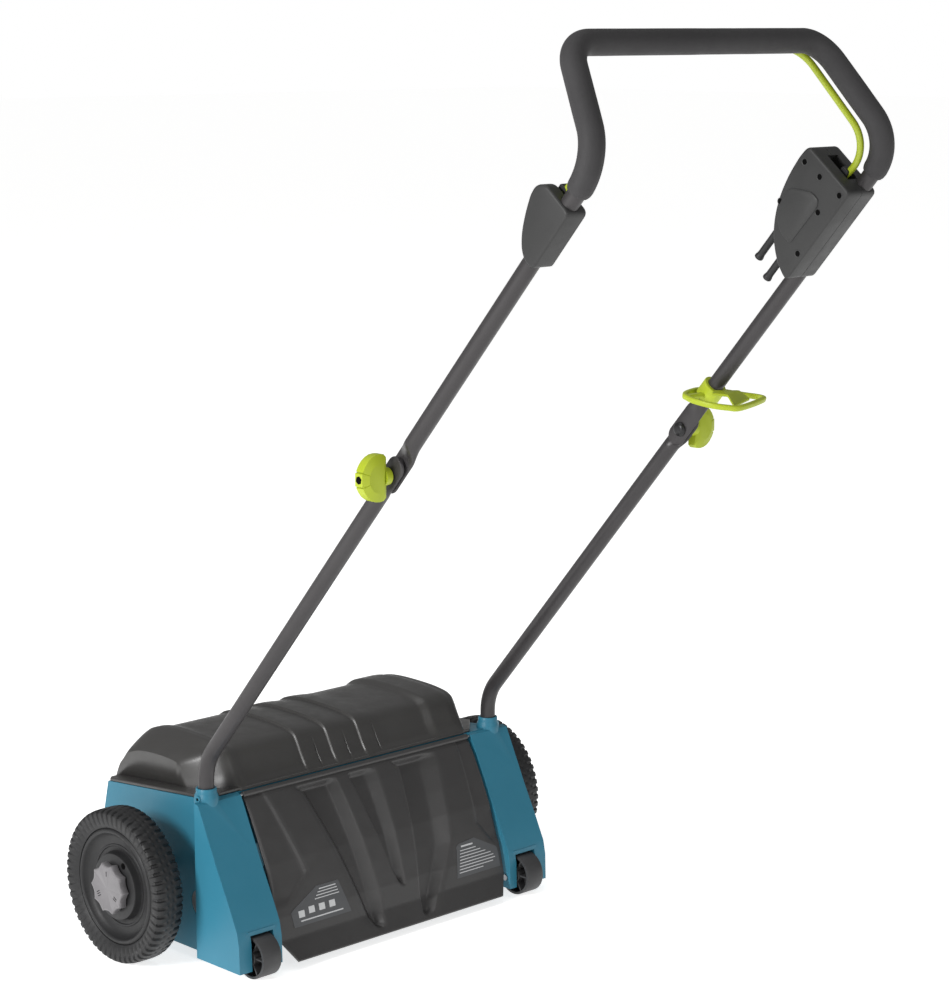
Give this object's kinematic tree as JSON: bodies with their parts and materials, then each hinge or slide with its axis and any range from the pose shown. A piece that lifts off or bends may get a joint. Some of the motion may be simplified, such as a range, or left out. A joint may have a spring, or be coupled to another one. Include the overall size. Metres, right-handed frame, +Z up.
{
  "type": "lawn dethatcher",
  "caption": "Walk-behind electric lawn dethatcher with a belt-driven spring-tine reel, eccentric height setting, rear flap, rear rollers and a folding U-shaped handle.",
  "frame": {"origin": "bottom centre of the bounding box, on the ground", "axes": "+Z up, +Y the way the machine is pushed, +X to the operator's right"},
  "size_m": [0.6396, 0.8231, 1.0886],
  "materials": {
    "deck_blue": "moulded teal-blue shell, satin with fine texture",
    "hood_charcoal": "moulded charcoal cover, fine grain",
    "flap_charcoal": "moulded charcoal flap",
    "box_charcoal": "moulded charcoal housing",
    "black_plastic": "black moulded plastic",
    "roller_plastic": "dark grey moulded roller",
    "grey_plastic": "light grey moulded knob",
    "lime_plastic": "lime green moulded plastic",
    "lime_paint": "lime green coated steel rod",
    "tube_grey": "dark grey powder-coated steel tube",
    "foam": "closed-cell foam grip, matt",
    "tyre": "black moulded tread",
    "belt_rubber": "black rubber",
    "motor_alloy": "cast motor can",
    "rotor_steel": "zinc-coated rotor bar",
    "spring_steel": "spring steel wire",
    "steel": "zinc-plated steel"
  },
  "bodies": {
    "deck": {"deck_housing": "deck_blue", "motor_hood": "hood_charcoal", "motor_body": "motor_alloy", "drive_belt": "belt_rubber", "flap_hinge_rod": "steel", "rotor_bearing_left": "steel", "rotor_bearing_right": "steel", "roller_pin_left": "steel", "roller_pin_right": "steel", "handle_tube_lower_left": "tube_grey", "handle_tube_lower_right": "tube_grey", "socket_screw_left": "steel", "socket_screw_right": "steel", "fold_bolt_left": "steel", "fold_bolt_right": "steel"},
    "depth_axle": {"cranked_axle": "steel", "depth_knob": "grey_plastic", "hub_cap_right": "grey_plastic"},
    "wheel_left": {"tyre_left": "tyre", "wheel_disc_left": "black_plastic"},
    "wheel_right": {"tyre_right": "tyre", "wheel_disc_right": "black_plastic"},
    "roller_left": {"rear_roller_left": "roller_plastic"},
    "roller_right": {"rear_roller_right": "roller_plastic"},
    "motor_rotor": {"motor_shaft": "steel", "cooling_fan": "black_plastic", "drive_pulley": "steel"},
    "tine_reel": {"tine_rotor": "rotor_steel", "driven_pulley": "black_plastic", "spring_tine_1": "spring_steel", "spring_tine_2": "spring_steel", "spring_tine_3": "spring_steel", "spring_tine_4": "spring_steel", "spring_tine_5": "spring_steel", "spring_tine_6": "spring_steel", "spring_tine_7": "spring_steel", "spring_tine_8": "spring_steel", "spring_tine_9": "spring_steel", "spring_tine_10": "spring_steel", "spring_tine_11": "spring_steel", "spring_tine_12": "spring_steel"},
    "flap": {"rear_flap": "flap_charcoal"},
    "upper_handle": {"handle_tube_upper": "tube_grey", "grip_foam": "foam", "switch_box_inner": "box_charcoal", "switch_box_outer": "box_charcoal", "strain_relief_upper": "belt_rubber", "strain_relief_lower": "belt_rubber", "bail_housing_left": "box_charcoal", "bail_pin_left": "steel", "bail_pin_right": "steel"},
    "bail": {"bail_lever": "lime_paint"},
    "button": {"lock_button": "lime_plastic"},
    "hook": {"cable_hook": "lime_plastic"},
    "wing_left": {"wing_knob_left": "lime_plastic"},
    "wing_right": {"wing_knob_right": "lime_plastic"}
  },
  "joints": [
    {"name": "depth_set", "type": "hinge", "parent": "deck", "child": "depth_axle", "pos_m": [0, 0.2875, 0.10471], "axis": [1, 0, 0], "range_deg": [0, 120]},
    {"name": "wheel_left_spin", "type": "hinge", "parent": "depth_axle", "child": "wheel_left", "pos_m": [-0.294, 0.2875, 0.09271], "axis": [1, 0, 0], "continuous": true},
    {"name": "wheel_right_spin", "type": "hinge", "parent": "depth_axle", "child": "wheel_right", "pos_m": [0.294, 0.2875, 0.09271], "axis": [1, 0, 0], "continuous": true},
    {"name": "roller_left_spin", "type": "hinge", "parent": "deck", "child": "roller_left", "pos_m": [-0.2165, 0.1335, 0.02568], "axis": [1, 0, 0], "continuous": true},
    {"name": "roller_right_spin", "type": "hinge", "parent": "deck", "child": "roller_right", "pos_m": [0.2165, 0.1335, 0.02568], "axis": [1, 0, 0], "continuous": true},
    {"name": "reel_spin", "type": "hinge", "parent": "deck", "child": "tine_reel", "pos_m": [0, 0.2175, 0.072], "axis": [1, 0, 0], "continuous": true},
    {"name": "motor_spin", "type": "hinge", "parent": "deck", "child": "motor_rotor", "pos_m": [0, 0.3215, 0.189], "axis": [1, 0, 0], "continuous": true},
    {"name": "flap_hinge", "type": "hinge", "parent": "deck", "child": "flap", "pos_m": [0, 0.2, 0.198], "axis": [-1, 0, 0], "range_deg": [0, 70]},
    {"name": "handle_fold", "type": "hinge", "parent": "deck", "child": "upper_handle", "pos_m": [0, -0.11886, 0.62594], "axis": [-1, 0, 0], "range_deg": [0, 120]},
    {"name": "wing_left_turn", "type": "hinge", "parent": "deck", "child": "wing_left", "pos_m": [-0.258, -0.11886, 0.62594], "axis": [1, 0, 0], "continuous": true},
    {"name": "wing_right_turn", "type": "hinge", "parent": "deck", "child": "wing_right", "pos_m": [0.258, -0.11886, 0.62594], "axis": [1, 0, 0], "continuous": true},
    {"name": "bail_swing", "type": "hinge", "parent": "upper_handle", "child": "bail", "pos_m": [0, -0.33766, 0.91251], "axis": [-1, 0, 0], "range_deg": [0, 20], "stiffness_Nm_per_rad": 1.5, "springref_deg": -11.46},
    {"name": "button_press", "type": "slide", "parent": "upper_handle", "child": "button", "axis": [-1, 0, 0], "range_m": [0, 0.003], "stiffness_N_per_m": 200},
    {"name": "hook_slide", "type": "slide", "parent": "upper_handle", "child": "hook", "axis": [0, -0.6521, 0.7581], "range_m": [0, 0.1]}
  ],
  "couplings": [
    {"joint": "motor_spin", "follows": "reel_spin", "ratio": 1.6202}
  ]
}
